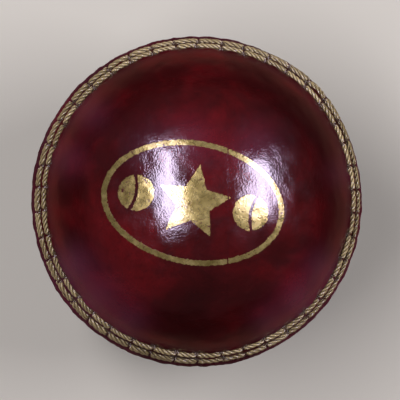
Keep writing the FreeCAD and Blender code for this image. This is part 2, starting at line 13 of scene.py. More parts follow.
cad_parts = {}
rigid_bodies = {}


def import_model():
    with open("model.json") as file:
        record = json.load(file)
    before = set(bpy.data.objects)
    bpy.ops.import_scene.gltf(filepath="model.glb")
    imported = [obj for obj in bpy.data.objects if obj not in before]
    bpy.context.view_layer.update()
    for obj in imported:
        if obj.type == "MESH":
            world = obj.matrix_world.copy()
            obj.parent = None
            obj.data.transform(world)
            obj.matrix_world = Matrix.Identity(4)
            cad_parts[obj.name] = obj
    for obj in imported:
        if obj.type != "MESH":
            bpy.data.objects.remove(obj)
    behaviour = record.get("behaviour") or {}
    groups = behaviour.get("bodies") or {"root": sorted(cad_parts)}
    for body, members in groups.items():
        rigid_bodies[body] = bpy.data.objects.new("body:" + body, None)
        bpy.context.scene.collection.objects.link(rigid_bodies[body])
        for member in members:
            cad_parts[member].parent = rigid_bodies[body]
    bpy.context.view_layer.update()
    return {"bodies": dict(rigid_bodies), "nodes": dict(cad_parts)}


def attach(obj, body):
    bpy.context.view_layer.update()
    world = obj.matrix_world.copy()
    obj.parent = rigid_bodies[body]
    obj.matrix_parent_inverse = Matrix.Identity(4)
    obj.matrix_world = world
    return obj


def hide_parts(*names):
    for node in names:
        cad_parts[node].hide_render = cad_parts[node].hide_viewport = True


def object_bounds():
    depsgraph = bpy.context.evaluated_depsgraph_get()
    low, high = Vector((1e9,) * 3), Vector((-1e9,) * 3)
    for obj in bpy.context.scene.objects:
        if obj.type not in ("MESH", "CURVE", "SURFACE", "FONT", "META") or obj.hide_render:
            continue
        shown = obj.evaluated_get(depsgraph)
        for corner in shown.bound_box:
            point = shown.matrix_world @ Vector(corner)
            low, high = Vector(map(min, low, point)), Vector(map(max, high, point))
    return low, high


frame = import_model()
BODY = "root" if "root" in frame["bodies"] else list(frame["bodies"])[0]
MILLIMETRE = 0.001

# ------------------------------------------------------------ shared sizes
# A cup is 1 for the upper half of the ball and -1 for the lower half.
LEATHER_RADIUS, INNER_RADIUS = 35.5, 32.0
UPPER_JOINT = 5.6  # x of the plane between the two upper quarters
STITCHES = 42
PITCH = 2 * math.pi / STITCHES
LATITUDE = {"closing": math.radians(5.0), "middle": math.radians(12.4), "outer": math.radians(18.5)}
ROW_RADIUS = {"closing": 35.60, "middle": 35.92, "outer": 35.77}
ROWS = tuple(LATITUDE)
ROW_REACH = {row: ROW_RADIUS[row] * math.cos(LATITUDE[row]) for row in ROWS}  # from the axis
HIGH_SIDE, LOW_SIDE = math.radians(43), math.radians(224)  # azimuths where the band bulges


# ------------------------------------------------------------ shared maths
def unit(vectors):
    return vectors / np.linalg.norm(vectors, axis=-1, keepdims=True)


def bell(value, width):
    return np.exp(-((value / width) ** 2))


def below(value, edge, softness):
    """1 well below the edge, falling smoothly to 0 above it."""
    return 1.0 / (1.0 + np.exp((value - edge) / softness))


def turn_from(azimuth, centre):
    """Signed angle from centre to azimuth, between -pi and pi."""
    return np.mod(azimuth - centre + math.pi, 2 * math.pi) - math.pi


def latitude(points):
    return np.arcsin(np.clip(points[:, 2] / np.linalg.norm(points, axis=1), -1, 1))


def polar(radius, angle):
    return (radius * math.cos(angle), radius * math.sin(angle))


def swing(start, stop, sweep, count):
    """count offsets from an arc's centre, turning from start towards stop; stop is left out."""
    return [
        (start * math.sin((1 - k / count) * sweep) + stop * math.sin(k / count * sweep))
        / math.sin(sweep)
        for k in range(count)
    ]


def waves(seed, wavelength):
    """A smooth random field of about unit size, summed from 28 plane waves."""
    count = 28
    rng = np.random.default_rng(seed)
    pulse = unit(rng.normal(size=(count, 3)))
    pulse *= (2 * math.pi / wavelength) * rng.uniform(0.7, 1.45, size=(count, 1))
    phases = rng.uniform(0, 2 * math.pi, count)

    def field(points):
        total = np.zeros(len(points))
        for direction, phase in zip(pulse, phases):
            total += np.cos(points @ direction + phase)
        return total * math.sqrt(2.0 / count)

    return field


# ----------------------------------------------------------- shared meshing
def raw_mesh(name, points, faces, **attributes):
    mesh = bpy.data.meshes.new(name)
    mesh.from_pydata(points.tolist(), [], faces)
    for key, values in attributes.items():
        layer = mesh.attributes.new(key, "FLOAT", "POINT")
        layer.data.foreach_set("value", values.astype(np.float32))
    return mesh


def face_outward(mesh):
    build = bmesh.new()
    build.from_mesh(mesh)
    bmesh.ops.recalc_face_normals(build, faces=build.faces[:])
    build.to_mesh(mesh)
    build.free()


def add_piece(name, mesh, node, sharp=None):
    """A smooth object that stands for a CAD node; edges above sharp degrees stay hard."""
    mesh.polygons.foreach_set("use_smooth", [True] * len(mesh.polygons))
    if sharp:
        mesh.set_sharp_from_angle(angle=math.radians(sharp))
    mesh.update()
    ob = bpy.data.objects.new(name, mesh)
    bpy.context.scene.collection.objects.link(ob)
    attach(ob, BODY)
    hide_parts(node)
    return ob


# ---------------------------------------------------------- leather relief
# Every stitch hole has its own small error of place, and its own depth.
HOLES = {}
for cup in (1, -1):
    for number, row in enumerate(ROWS):
        rng = np.random.default_rng(400 + 10 * cup + number)
        HOLES[cup, row] = {
            "along": np.clip(rng.normal(0, 0.27, STITCHES), -0.50, 0.50),
            "across": np.clip(rng.normal(0, 0.075, STITCHES), -0.15, 0.15),
            "deep": rng.uniform(0.40, 0.75, STITCHES),
            "wide": rng.uniform(0.85, 1.25, STITCHES),
            "turn": rng.uniform(0, 2 * math.pi, STITCHES),
            "puff": rng.uniform(0.6, 1.4, STITCHES),
        }

# Unevenness of the whole cup: height, seed, wavelength.
SWELL_WAVES = ((0.050, 11, 21.0), (0.022, 21, 8.5), (0.009, 31, 3.6), (0.0035, 41, 1.7))
SWELL = {c: [(high, waves(seed + c, size)) for high, seed, size in SWELL_WAVES] for c in (1, -1)}
# Extra unevenness of the stitched band, coarse and fine.
CRUMPLE = {c: (waves(51 + c, 3.2), waves(61 + c, 1.3)) for c in (1, -1)}


def bulge(azimuth, lat):
    """How far the stitched band stands out beyond a true ball: it was pressed unevenly."""
    high = 0.60 * bell(turn_from(azimuth, HIGH_SIDE), math.radians(21))
    low = 0.10 * bell(turn_from(azimuth, LOW_SIDE), math.radians(30))
    return below(lat, math.radians(20.5), math.radians(2.2)) * (high + low)


def nearest_hole(azimuth):
    """(number of the nearest stitch hole, angle past its even place)."""
    place = azimuth / PITCH - 0.5
    return np.rint(place).astype(int) % STITCHES, (place - np.rint(place)) * PITCH


def stitch_marks(row, cup, azimuth, lat):
    """(shift, dirt and painted shade) that one row of stitches gives the leather."""
    holes = HOLES[cup, row]
    hole, past = nearest_hole(azimuth)
    place = azimuth / PITCH - 0.5
    following = np.floor(place).astype(int) % STITCHES
    along = past * ROW_REACH[row] - holes["along"][hole]
    from_row = (lat - LATITUDE[row]) * ROW_RADIUS[row]
    across = from_row - holes["across"][hole]
    # the pit the needle and the tight thread leave
    pit_length = 0.50 * holes["wide"][hole]
    pit = np.exp(-(np.abs(along / pit_length) ** 2.6) - np.abs(across / 0.36) ** 2.4)
    shift = -holes["deep"][hole] * pit
    # leather pulled down round the hole, puffed up beside the stitch
    shift -= 0.19 * bell(along, 0.95) * bell(across, 0.95)
    puff = 0.5 - 0.5 * np.cos(2 * math.pi * place)  # 0 at a hole, 1 at mid-stitch
    puff_at = 1.15 if row == "closing" else 1.25
    shift += 0.20 * holes["puff"][following] * puff * bell(np.abs(from_row) - puff_at, 0.52)
    # seven creases running out of the hole
    crease = np.cos(7 * np.arctan2(across, along) + holes["turn"][hole])
    shift += 0.042 * crease * bell(np.hypot(along, across) - 1.15, 0.55)
    # the second value darkens the row line and the pits: dirt and painted shade
    return shift, np.maximum(bell(from_row, 0.62), 0.9 * pit)


def stitched_band(points, azimuth, lat, cup):
    """(shift, dirt and painted shade) of the leather from the joint to a little above the stitches.
    """
    z = points[:, 2]
    coarse, fine = CRUMPLE[cup]
    band = below(lat, math.radians(22.6), math.radians(0.8))
    shift = band * (0.045 * coarse(points) + 0.022 * fine(points))
    grime = 0.75 * bell(z, 0.35)
    for row in ROWS:
        marks, dirt = stitch_marks(row, cup, azimuth, lat)
        shift += marks
        grime = np.maximum(grime, dirt)
    # the lip is drawn in at each closing stitch and swells between
    holes = HOLES[cup, "closing"]
    hole, past = nearest_hole(azimuth)
    along = past * 36.0 - holes["along"][hole]
    swollen = 0.05 * holes["puff"][hole] * (1 - bell(along, 1.3))
    drawn = 0.045 * holes["wide"][hole] * bell(along, 0.9)
    shift += bell(z - 1.0, 1.1) * (swollen - drawn)
    # the joint sinks on the high side
    sunk = bell(turn_from(azimuth, HIGH_SIDE), math.radians(30))
    shift -= 0.24 * sunk * np.exp(-((z / 1.9) ** 4))
    return shift, grime


def leather(points, cup):
    """(shift along the surface's normal, dirt and painted shade) of points on a cup's clean outer
    face.

    Points of the lower cup are given mirrored to the upper side.
    """
    azimuth = np.arctan2(points[:, 1], points[:, 0])
    lat = latitude(points)
    shift = bulge(azimuth, lat)
    for height, field in SWELL[cup]:
        shift += height * field(points)
    grime = np.zeros(len(points))
    near = lat < math.radians(27)
    relief, grime[near] = stitched_band(points[near], azimuth[near], lat[near], cup)
    shift[near] += relief
    return shift, grime


# ------------------------------------------------------------- leather tone and painted light
# Brighter (+) and darker (-) patches of the dye: partly the hide's own uneven tone,
# partly painted light, a painted glow round the highlights and a painted sheen near
# the lower rim. Columns: x, y on the cup seen from its pole, reach and strength.
PATINA = (
    (4.0, 14.5, 9.0, 1.0), (-10.5, -15.5, 6.5, 0.8), (-25.5, -2.0, 8.0, 0.45),
    (-24.5, 17.0, 7.0, 0.5), (-20.0, -21.0, 7.0, 0.7), (22.0, -20.0, 7.0, 0.6),
    (12.0, 26.5, 8.0, -0.7), (25.5, 13.0, 9.0, -0.8), (1.0, -28.0, 7.0, -0.6),
    (3.0, -20.0, 5.0, -0.4), (-9.0, 25.0, 6.0, -0.2), (18.0, -6.0, 7.0, 0.2),
    (0.0, 0.0, 13.0, 0.42),
)
# Painted violet reflection on the lacquer, near the lower rim and round the highlights, in the same
# columns.
BLOOM = (
    (-16.0, -27.0, 4.5, 0.7), (-23.0, -21.5, 5.0, 0.9), (-28.0, -14.5, 4.5, 0.9),
    (27.0, -15.5, 4.5, 0.6), (22.0, -22.0, 4.5, 0.8), (15.5, -27.0, 4.0, 0.5),
    (-29.0, 9.0, 4.0, 0.5), (-24.0, 19.0, 4.0, 0.5), (-10.5, 10.5, 5.5, 0.35),
    (-2.5, 12.0, 5.5, 0.4), (12.0, 10.5, 5.5, 0.5), (31.5, 6.0, 3.5, 0.3),
)


def patches(points, cup, places):
    total = np.zeros(len(points))
    for x, y, reach, strength in places:
        x, y = (x, y) if cup > 0 else (-y, x)
        squared = (points[:, 0] - x) ** 2 + (points[:, 1] - y) ** 2
        total += strength * np.exp(-squared / reach**2)
    return total


def rubbed_ring(points):
    """Painted highlight: a brighter red ring a little above the stitches, where the raised leather
    catches the light.
    """
    return 0.75 * bell(np.degrees(np.abs(latitude(points))) - 26.0, 3.6)


def bloom_ring(points):
    """Painted violet sheen just above the outer row and on the lip beside the joint."""
    above = 0.10 * bell(np.degrees(np.abs(latitude(points))) - 23.2, 2.2)
    return above + 0.50 * bell(np.abs(points[:, 2]) - 1.0, 1.2)


# --------------------------------------------------------- leather quarters
FINE_RING = 1008  # points round the rings of the stitched band
GROOVE_HALF, GROOVE_DEPTH = math.radians(0.83), 0.23  # the groove each row lies in
BAND_TOP = 23.5  # latitude in degrees
# Arcs between the corners of the band's outline: radius, bowed outward, points.
GROOVE_ARC = (0.57, False, 7)
BAND_ARCS = (
    (1.3, True, 7), (6.0, True, 11), GROOVE_ARC, (4.5, True, 15),
    GROOVE_ARC, (8.0, True, 14), GROOVE_ARC, (12.0, True, 10),
)


def arc(start, stop, radius, outward, count):
    """count points from start towards stop on an arc; stop is left out."""
    start, stop = np.array(start, float), np.array(stop, float)
    half = np.linalg.norm(stop - start) / 2
    along = (stop - start) / (2 * half)
    normal = np.array([along[1], -along[0]])
    middle = (start + stop) / 2
    if (normal @ middle > 0) != outward:
        normal = -normal
    centre = middle - normal * math.sqrt(radius**2 - half**2)
    first, last = start - centre, stop - centre
    sweep = math.acos(np.clip(first @ last / radius**2, -1, 1))
    return [centre + offset for offset in swing(first, last, sweep, count)]


def profile():
    """A cup's clean outer face, joint to pole: [(distance from axis, height, points round)]."""
    corners = [(35.95, 0.0), (36.38, 0.95)]
    for row in ROWS:
        for half in (-GROOVE_HALF, GROOVE_HALF):
            corners.append(polar(ROW_RADIUS[row] - GROOVE_DEPTH, LATITUDE[row] + half))
    corners.append(polar(LEATHER_RADIUS, math.radians(BAND_TOP)))
    stations = []
    for start, stop, shape in zip(corners, corners[1:], BAND_ARCS):
        stations += [(x, z, FINE_RING) for x, z in arc(start, stop, *shape)]
    # above the band the rings step apart and thin out towards the pole
    lat = BAND_TOP
    while lat < 89.4:
        thinning = 1 if lat < 39 else 2 if lat < 63 else 4 if lat < 79 else 8
        stations.append((*polar(LEATHER_RADIUS, math.radians(lat)), FINE_RING // thinning))
        lat += 0.42 if lat < 27 else 0.58 if lat < 40 else 0.72 if lat < 65 else 0.8
    return stations


def join(low, high, low_count, high_count):
    """Faces between two rings of equal, halved or doubled count, from their first vertices."""
    faces = []
    for k in range(min(low_count, high_count)):
        if low_count == high_count:
            m = (k + 1) % low_count
            faces.append((low + k, low + m, high + m, high + k))
        elif low_count > high_count:
            a, b, c = low + 2 * k, low + 2 * k + 1, low + (2 * k + 2) % low_count
            left, right = high + k, high + (k + 1) % high_count
            faces += [(a, b, left), (b, c, right), (b, right, left)]
        else:
            left, right = low + k, low + (k + 1) % low_count
            a, b, c = high + 2 * k, high + 2 * k + 1, high + (2 * k + 2) % high_count
            faces += [(left, right, b), (right, c, b), (left, b, a)]
    return faces


def ring_points(reach, z, count):
    angle = np.arange(count) * 2 * math.pi / count
    return np.stack([reach * np.cos(angle), reach * np.sin(angle), np.full(count, z)], axis=1)


def cup_mesh(cup):
    """A whole cup in millimetres, with its dirt and painted shade, its skin (1 on the outer face),
    and its tone and painted light.
    """
    inner = [
        (*polar(INNER_RADIUS, math.radians(lat)), FINE_RING // 8)
        for lat in np.arange(86.0, -0.1, -4.0)
    ]
    inner += [(33.6, 0.0, FINE_RING // 4), (35.0, 0.0, FINE_RING // 2)]
    rings = [np.array([[0.0, 0.0, INNER_RADIUS]])]
    for reach, z, count in inner:
        rings.append(ring_points(reach, max(z, 0.002), count))
    inner_total = sum(len(ring) for ring in rings)
    grime = [np.zeros(inner_total)]

    outer = profile()
    runs = np.gradient(np.array([(reach, z) for reach, z, _ in outer]), axis=0)
    for number, ((reach, z, count), (run_x, run_z)) in enumerate(zip(outer, runs)):
        points = ring_points(reach, z, count)
        length = math.hypot(run_x, run_z)
        shift, dirt = leather(points, cup)
        shift *= min(1.0, number / 3.0)  # the relief fades in from the joint
        points += ring_points(run_z / length, -run_x / length, count) * shift[:, None]
        points[:, 2] = np.maximum(points[:, 2], 0.004)
        rings.append(points)
        grime.append(dirt)
    pole = np.array([[0.0, 0.0, LEATHER_RADIUS]])
    shift, dirt = leather(pole, cup)
    pole[0, 2] += shift[0]
    rings.append(pole)
    grime.append(dirt)

    counts = [len(ring) for ring in rings]
    starts = [int(start) for start in np.cumsum([0] + counts[:-1])]
    first, count = starts[1], counts[1]
    faces = [(0, first + (k + 1) % count, first + k) for k in range(count)]
    for k in range(1, len(rings) - 2):
        faces += join(starts[k], starts[k + 1], counts[k], counts[k + 1])
    last, count, top = starts[-2], counts[-2], starts[-1]
    faces += [(last + k, last + (k + 1) % count, top) for k in range(count)]

    points = np.vstack(rings)
    if cup < 0:
        points[:, 2] *= -1
        faces = [tuple(reversed(face)) for face in faces]
    return raw_mesh(
        "cup_source", points, faces,
        # darkening by dirt and painted shade; patches of tone with painted light; painted violet
        # reflection
        grime=np.concatenate(grime),
        skin=(np.arange(len(points)) >= inner_total).astype(float),
        patina=patches(points, cup, PATINA) + rubbed_ring(points),
        bloom=patches(points, cup, BLOOM) + bloom_ring(points),
    )


def quarter(source, name, normal, at, side):
    """The part of a cup on one side of its joint plane, closed and with its skin's edge rolled."""
    build = bmesh.new()
    build.from_mesh(source)
    normal = Vector(normal)

    def depth(vert):
        return (vert.co.dot(normal) - at) * side

    def bisect(geom, offset, **clear):
        place = normal * at + normal * side * offset
        bmesh.ops.bisect_plane(
            build, geom=geom, dist=1e-5, plane_co=place, plane_no=normal, **clear
        )

    whole = build.verts[:] + build.edges[:] + build.faces[:]
    bisect(whole, 0.0, clear_inner=side > 0, clear_outer=side < 0)
    # two more rows of vertices close to the cut
    for offset in (0.08, 0.20):
        faces = [
            face for face in build.faces
            if abs(min(depth(v) for v in face.verts)) < 0.9
            or any(abs(depth(v) - offset) < 0.6 for v in face.verts)
        ]
        edges = list({edge for face in faces for edge in face.edges})
        verts = list({vert for face in faces for vert in face.verts})
        bisect(verts + edges + faces, offset)
    close = [vert for vert in build.verts if depth(vert) < 0.6]
    bmesh.ops.remove_doubles(build, verts=close, dist=0.004)
    rim = [edge for edge in build.edges if edge.is_boundary]
    bmesh.ops.triangle_fill(build, use_beauty=True, edges=rim)
    bmesh.ops.recalc_face_normals(build, faces=build.faces[:])
    grime = build.verts.layers.float["grime"]
    for vert in build.verts:
        deep_in = depth(vert)
        if deep_in < 0.45 and vert.co.length > LEATHER_RADIUS - 1.2:
            fall = 0.004 * math.exp(-((deep_in / 0.08) ** 2))
            vert.co *= 1 - fall / vert.co.length
            vert[grime] = max(vert[grime], 0.22 * math.exp(-((deep_in / 0.07) ** 2)))
        if deep_in < 1e-4:
            vert.co += normal * (side * 0.004)  # leaves a hairline between the quarters
    mesh = bpy.data.meshes.new("leather_" + name)
    bmesh.ops.scale(build, vec=(MILLIMETRE,) * 3, verts=build.verts)
    build.to_mesh(mesh)
    build.free()
    return add_piece("leather_" + name, mesh, "quarter_" + name, sharp=48)


quarters = []
for cup, half, normal, at in ((1, "upper", (1, 0, 0), UPPER_JOINT), (-1, "lower", (0, 1, 0), 0.0)):
    source = cup_mesh(cup)
    for side, letter in ((1, "a"), (-1, "b")):
        quarters.append(quarter(source, half + "_" + letter, normal, at, side))
    bpy.data.meshes.remove(source)

# ----------------------------------------------------------- seam threads
HOLE_GAP = 0.29  # from a hole's centre to the thread on either side
CROSSING_RADIUS, CROSSING_STEP = 34.0, 0.33  # alternate crossings lie a step out or in
THREAD_SPACING = 0.20
THIN_RADIUS = 0.275  # of a thread inside the leather
PLIES, PLY_SIDES = 3, 8
# Each hole gives five corners: mid-stitch, in, turn, turn, out.
ROUNDING = (14.0, 0.30, 0.40, 0.40, 0.30)


def around(reach, azimuth, z):
    return np.array([reach * math.cos(azimuth), reach * math.sin(azimuth), z])


def spot(row, cup, azimuth, lift, across):
    """A point near a row's line, on the leather."""
    lat = LATITUDE[row] + across / ROW_RADIUS[row]
    radius = ROW_RADIUS[row] + lift + bulge(azimuth, lat)
    if row == "closing":
        radius += 0.42 * bell(turn_from(azimuth, HIGH_SIDE), math.radians(30)) - 0.10
    return around(radius * math.cos(lat), azimuth, cup * radius * math.sin(lat))


def deep(row, cup, azimuth, depth, across):
    """The point inside the leather where a stitch turns into its crossing run."""
    lat = LATITUDE[row] + across / ROW_RADIUS[row]
    z = ROW_RADIUS[row] * math.sin(lat)
    reach = CROSSING_RADIUS if row == "closing" else math.sqrt(CROSSING_RADIUS**2 - z * z)
    return around(reach + depth + 0.5 * bulge(azimuth, lat), azimuth, cup * z)


def thread_corners(first, second, parity, seed):
    """Corners of a thread that crosses at each hole between two (row, cup) lines."""
    rng = np.random.default_rng(seed)
    corners = []
    for hole in range(STITCHES):
        even = (hole - parity) % 2 == 0
        ends = (first, second) if even else (second, first)
        depth = CROSSING_STEP if even else -CROSSING_STEP
        azimuth = hole * PITCH + rng.normal(0, 0.006)
        lift = 0.07 + rng.normal(0, 0.035)
        corners.append(spot(*ends[0], azimuth, lift, rng.normal(0, 0.06)))
        for (row, cup), way in zip(ends, (-1, 1)):
            holes = HOLES[cup, row]
            shift = (holes["along"][hole] + way * HOLE_GAP) / ROW_REACH[row]
            azimuth = (hole + 0.5) * PITCH + shift
            across = holes["across"][hole]
            pair = [
                spot(row, cup, azimuth, 0.0, across + way * 0.05),
                deep(row, cup, azimuth, depth, across),
            ]
            corners += pair[::-way]
    return corners


def trace(corners):
    """The closed line with rounded corners, and each corner's index in it."""
    total = len(corners)
    arcs = []
    for i, corner in enumerate(corners):
        back, ahead = corners[i - 1] - corner, corners[(i + 1) % total] - corner
        back_length, ahead_length = np.linalg.norm(back), np.linalg.norm(ahead)
        back, ahead = back / back_length, ahead / ahead_length
        opening = math.acos(np.clip(back @ ahead, -1, 1))
        if math.pi - opening < 1e-3:
            arcs.append((corner, corner, None, 0.0))
            continue
        limit = 0.46 * min(back_length, ahead_length)
        radius = min(ROUNDING[i % 5], limit * math.tan(opening / 2))
        cut = radius / math.tan(opening / 2)
        centre = corner + unit(back + ahead) * (radius / math.sin(opening / 2))
        arcs.append((corner + back * cut, corner + ahead * cut, centre, math.pi - opening))
    line, where = [], []
    for i, (start, stop, centre, sweep) in enumerate(arcs):
        where.append(len(line))
        if centre is None:
            line.append(start)
        else:
            first, last = start - centre, stop - centre
            by_length = math.ceil(sweep * np.linalg.norm(first) / THREAD_SPACING)
            count = max(2, int(by_length), int(math.ceil(sweep / 0.42)))
            where[-1] += count // 2
            line += [centre + offset for offset in swing(first, last, sweep, count)]
        run = arcs[(i + 1) % total][0] - stop
        count = max(1, int(round(np.linalg.norm(run) / THREAD_SPACING)))
        line += [stop + run * (k / count) for k in range(count)]
    return np.array(line), where


def carry(normal, before, after):
    """A normal turned just as the tangent turns from before to after."""
    axis = np.cross(before, after)
    sine, cosine = np.linalg.norm(axis), before @ after
    if sine > 1e-12:
        axis = axis / sine
        turned = normal * cosine + np.cross(axis, normal) * sine
        normal = turned + axis * (axis @ normal) * (1 - cosine)
    return unit(normal - after * (normal @ after))


def carried_normals(line, tangent):
    """Untwisted normals along a closed line, and the angle they miss closing by."""
    normal = np.zeros_like(line)
    radial = unit(line[0])
    normal[0] = unit(radial - tangent[0] * (radial @ tangent[0]))
    for i in range(1, len(line)):
        normal[i] = carry(normal[i - 1], tangent[i - 1], tangent[i])
    last = carry(normal[-1], tangent[-1], tangent[0])
    return normal, math.atan2(tangent[0] @ np.cross(last, normal[0]), last @ normal[0])


def stitch_progress(travel, total, knots):
    """Share of the way along an outside stitch, and closeness to the surface inside a hole."""
    share, squeezed = np.zeros(len(travel)), np.zeros(len(travel))
    for i, (start, stop) in enumerate(zip(knots, np.append(knots[1:], knots[0] + total))):
        wrapped = np.where(travel < start, travel + total, travel)
        inside = (wrapped >= start) & (wrapped < stop)
        way = (wrapped[inside] - start) / (stop - start)
        fade = (stop - start) / 0.24
        leg = i % 5
        if leg == 0:  # mid-stitch to in
            share[inside] = 0.5 + 0.5 * way
        elif leg == 1:  # in to turn
            squeezed[inside] = np.clip(1 - way * fade, 0, 1)
        elif leg == 3:  # turn to out
            squeezed[inside] = np.clip(1 - (1 - way) * fade, 0, 1)
        elif leg == 4:  # out to mid-stitch
            share[inside] = 0.5 * way
    return share, squeezed


def cord(name, first, second, parity, seed, node):
    """One seam thread: plies laid round its line, fat at mid-stitch and thin in the leather."""
    line, where = trace(thread_corners(first, second, parity, seed))
    count = len(line)
    lengths = np.linalg.norm(np.roll(line, -1, axis=0) - line, axis=1)
    travel = np.concatenate([[0], np.cumsum(lengths)[:-1]])
    total = lengths.sum()
    tangent = unit(np.roll(line, -1, axis=0) - np.roll(line, 1, axis=0))
    normal, miss = carried_normals(line, tangent)
    binormal = np.cross(tangent, normal)

    def cycle(length):
        """Angle that turns once per length, fitted to a whole number of turns."""
        return travel * 2 * math.pi * round(total / length) / total

    knots = travel[where]
    share, squeezed = stitch_progress(travel, total, knots)
    out = np.sin(math.pi * share)  # 0 in the leather, 1 at mid-stitch
    rng = np.random.default_rng(seed + 1)
    full = np.interp(travel, knots[::5], rng.normal(1.0, 0.055, STITCHES), period=total)
    tint = np.interp(travel, knots[::5], rng.uniform(0, 1, STITCHES), period=total)
    outside = 0.60 + 0.40 * np.minimum(1.0, out / 0.55) ** 0.8
    weight = np.where(share > 0, outside, 0.60 * squeezed)
    fat_radius = 0.50 if first[0] == "closing" else 0.63
    radius = THIN_RADIUS + (fat_radius * full - THIN_RADIUS) * weight
    # one turn of the lay every 3.9, wandering a little, closed by an even turn
    lay = cycle(3.9) + miss * travel / total
    lay += 0.55 * np.sin(cycle(23.0)) + 0.30 * np.sin(cycle(7.7) + seed)

    # a stitch is flattened against the ball
    radial = unit(line)
    radial = radial - tangent * np.sum(radial * tangent, axis=1)[:, None]
    size = np.linalg.norm(radial, axis=1)
    radial = radial / np.maximum(size, 1e-6)[:, None]
    sideways = np.cross(tangent, radial)
    flat = out * np.clip((size - 0.5) / 0.4, 0, 1)

    fuzz = waves(seed + 7, 0.55)
    angles = 2 * math.pi * np.arange(PLY_SIDES) / PLY_SIDES
    points, faces = [], []
    for ply in range(PLIES):
        turn = (lay + ply * 2 * math.pi / PLIES)[:, None]
        # plies differ a little in weight, and wander against one another
        heft = 1.0 + 0.07 * math.sin(1.7 * ply + seed) + 0.05 * np.sin(cycle(4.1 + ply) + ply)
        away = normal * np.cos(turn) + binormal * np.sin(turn)
        beside = -normal * np.sin(turn) + binormal * np.cos(turn)
        for angle in angles:
            ray = away * math.cos(angle) + beside * math.sin(angle)
            offset = away * (radius * 0.53)[:, None] + ray * (radius * 0.49 * heft)[:, None]
            height = np.sum(offset * radial, axis=1)
            aside = np.sum(offset * sideways, axis=1)
            offset = offset + radial * (height * (-0.14 * flat))[:, None]
            place = line + offset + sideways * (aside * (0.16 * flat))[:, None]
            points.append(place + unit(place) * (0.012 * fuzz(place))[:, None])
        base = ply * PLY_SIDES * count
        for k in range(PLY_SIDES):
            a, b = base + k * count, base + ((k + 1) % PLY_SIDES) * count
            for i in range(count):
                j = (i + 1) % count
                faces.append((a + i, a + j, b + j, b + i))
    strands = PLIES * PLY_SIDES
    # two attributes below carry painted shade: between the plies, and on the thread where it runs in
    # its hole
    mesh = raw_mesh(
        name, np.vstack(points) * MILLIMETRE, faces,
        crevice=np.tile(np.repeat(0.5 - 0.5 * np.cos(angles), count), PLIES),
        tint=np.tile(tint, strands),
        sunk=np.tile(np.clip(1.0 - 3.0 * out, 0.0, 1.0), strands),
    )
    face_outward(mesh)
    return add_piece(name, mesh, node)


cords = []
for number, (first, second, stem) in enumerate((
    (("closing", 1), ("closing", -1), "closing_thread_"),
    (("outer", 1), ("middle", 1), "upper_thread_"),
    (("outer", -1), ("middle", -1), "lower_thread_"),
)):
    for parity, letter in enumerate("ab"):
        node = stem + letter
        seed = 900 + 20 * number + 5 * parity
        cords.append(cord("laid_" + node, first, second, parity, seed, node))

# ------------------------------------------------------------ foil emblem
EMBLEM_TURN, EMBLEM_AT = math.radians(-10.0), (-1.9, -0.95)
FOIL_GRID = 0.155
FOIL_HALF = 0.030  # half its thickness
FRAME_OUTER, FRAME_INNER = (20.0, 13.4), (18.85, 12.25)  # half axes of the oval frame
STAR_TIP, STAR_NOTCH = 8.3, 3.9
BALL_AT, BALL_RADIUS = 12.6, 3.9  # the small balls, at x = +-BALL_AT
BALL_SEAM_RADIUS, BALL_SEAM_HALF = 8.58, 0.35
RAGGED = ((0.045, waves(701, 0.9)), (0.025, waves(702, 0.42)))


def oval(x, y, a, b):
    level = np.sqrt((x / a) ** 2 + (y / b) ** 2) + 1e-9
    return (level - 1) / np.maximum(np.hypot(x / a**2, y / b**2) / level, 1e-3)


def star(x, y):
    """Signed distance to a five-pointed star."""
    corners = [
        polar(STAR_NOTCH if i % 2 else STAR_TIP, math.radians(90 + 36 * i)) for i in range(10)
    ]
    near, inside = np.full(x.shape, 1e9), np.zeros(x.shape, bool)
    for (x0, y0), (x1, y1) in zip(corners, corners[1:] + corners[:1]):
        run, rise = x1 - x0, y1 - y0
        share = np.clip(((x - x0) * run + (y - y0) * rise) / (run * run + rise * rise), 0, 1)
        near = np.minimum(near, np.hypot(x - x0 - share * run, y - y0 - share * rise))
        inside ^= ((y0 > y) != (y1 > y)) & (x < run * (y - y0) / rise + x0)
    return np.where(inside, -near, near)


def emblem(x, y):
    """Signed distance to the emblem's edge, negative inside, in its own plane."""
    distance = np.maximum(oval(x, y, *FRAME_OUTER), -oval(x, y, *FRAME_INNER))
    distance = np.minimum(distance, star(x, y))
    for way in (-1, 1):
        centre = way * BALL_AT
        disc = np.hypot(x - centre, y) - BALL_RADIUS
        from_seam = np.hypot(x - centre - way * BALL_SEAM_RADIUS, y) - BALL_SEAM_RADIUS
        ball = np.maximum(disc, BALL_SEAM_HALF - np.abs(from_seam))
        distance = np.minimum(distance, ball)
    return distance


def on_cup(x, y):
    """Emblem coordinates turned and moved to their place on the ball."""
    cosine, sine = math.cos(EMBLEM_TURN), math.sin(EMBLEM_TURN)
    return x * cosine - y * sine + EMBLEM_AT[0], x * sine + y * cosine + EMBLEM_AT[1]


